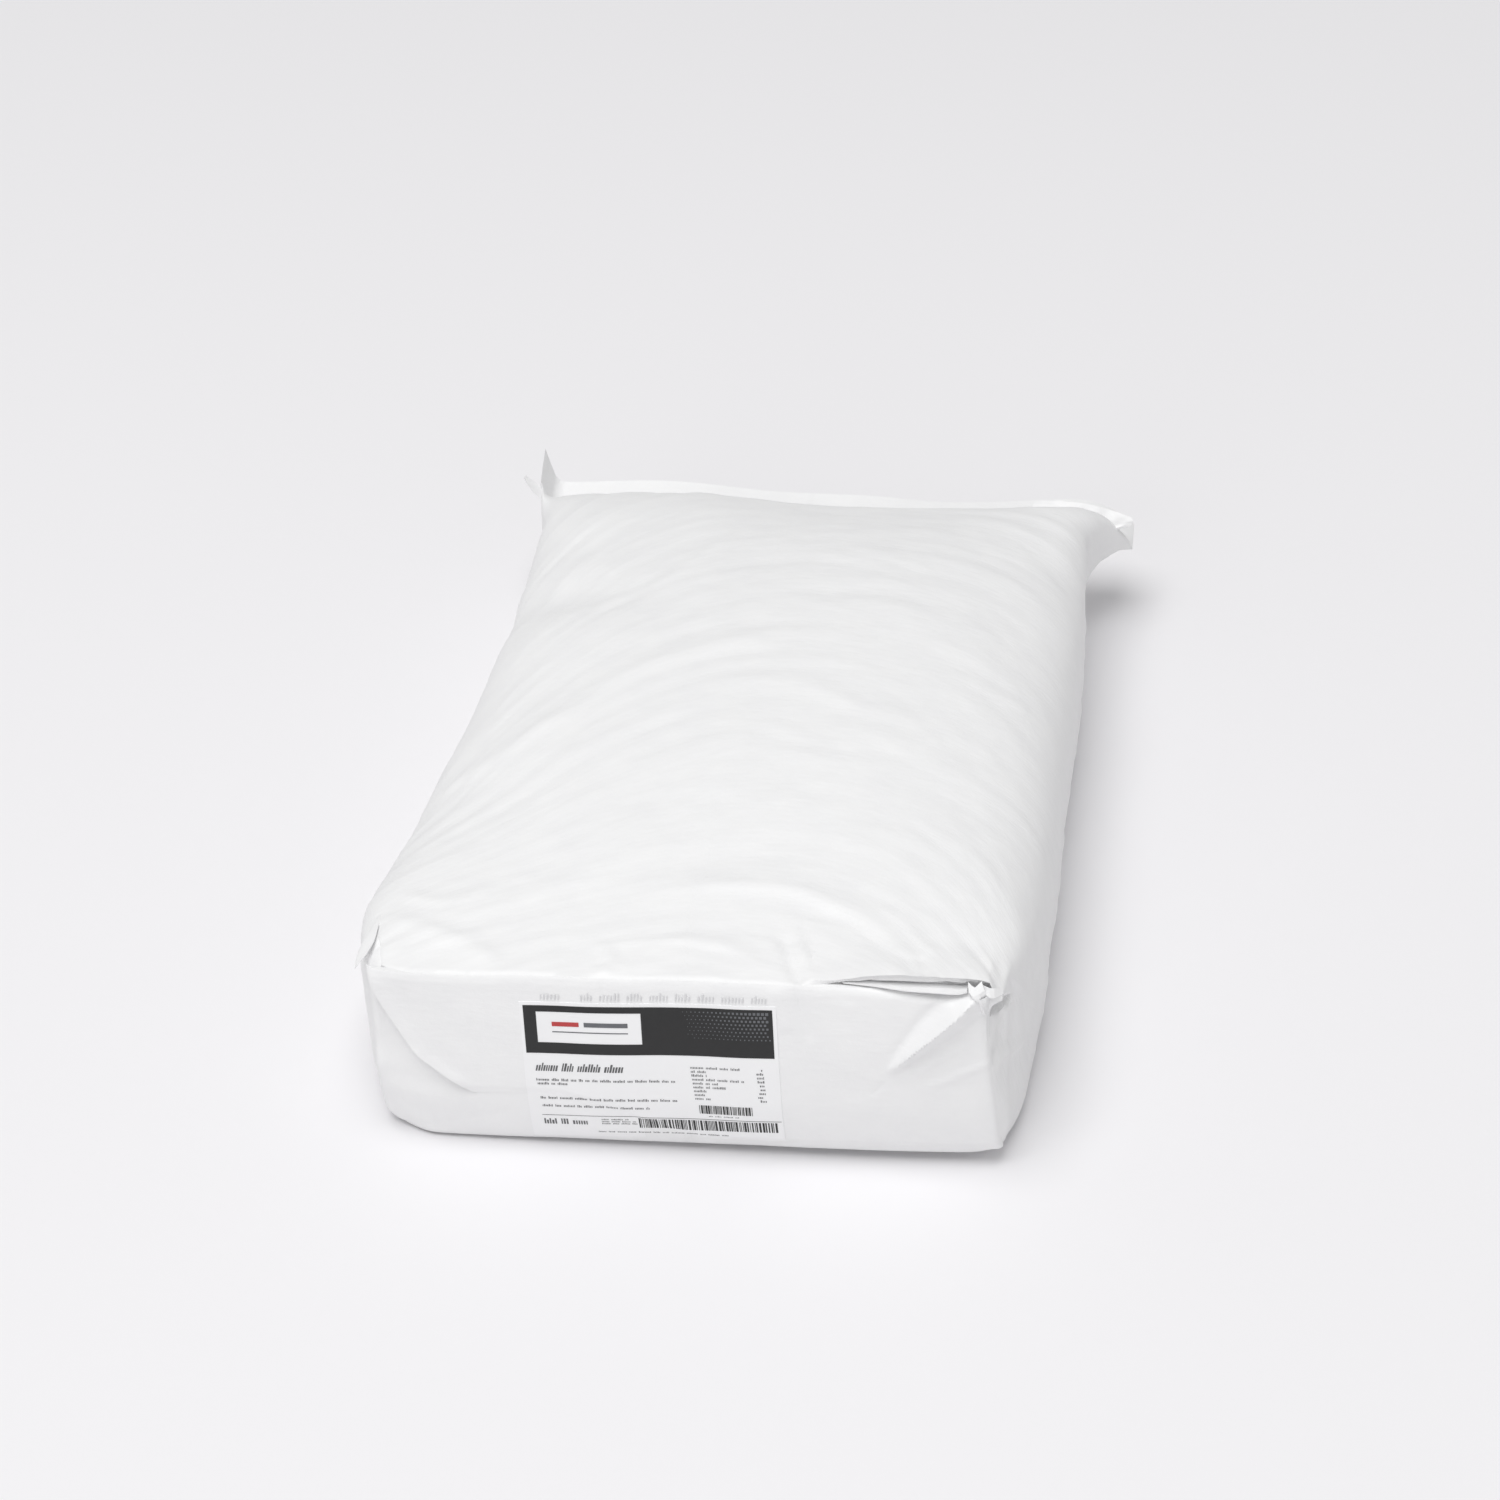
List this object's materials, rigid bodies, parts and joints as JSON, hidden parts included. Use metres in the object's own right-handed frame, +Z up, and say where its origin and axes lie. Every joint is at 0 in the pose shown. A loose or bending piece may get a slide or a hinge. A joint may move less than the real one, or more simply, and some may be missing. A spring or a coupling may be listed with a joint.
{
  "type": "bag of hazelnut brittle",
  "caption": "Filled white paper sack of hazelnut brittle lying on its back, with a pasted block bottom, an adhesive label and a pinched far end with corner ears.",
  "frame": {"origin": "on the floor, under the middle of the sack's bounding box", "axes": "+Z up, +Y along the sack from its pasted block bottom to its pinched end, +X to the right as seen facing the block bottom"},
  "size_m": [0.4424, 0.7101, 0.1468],
  "materials": {
    "sack_paper": "white bleached kraft paper of a multiwall sack, smooth and slightly glossy, finely crinkled",
    "label_paper": null
  },
  "bodies": {
    "root": {"sack": "sack_paper", "label": "label_paper"}
  },
  "joints": []
}
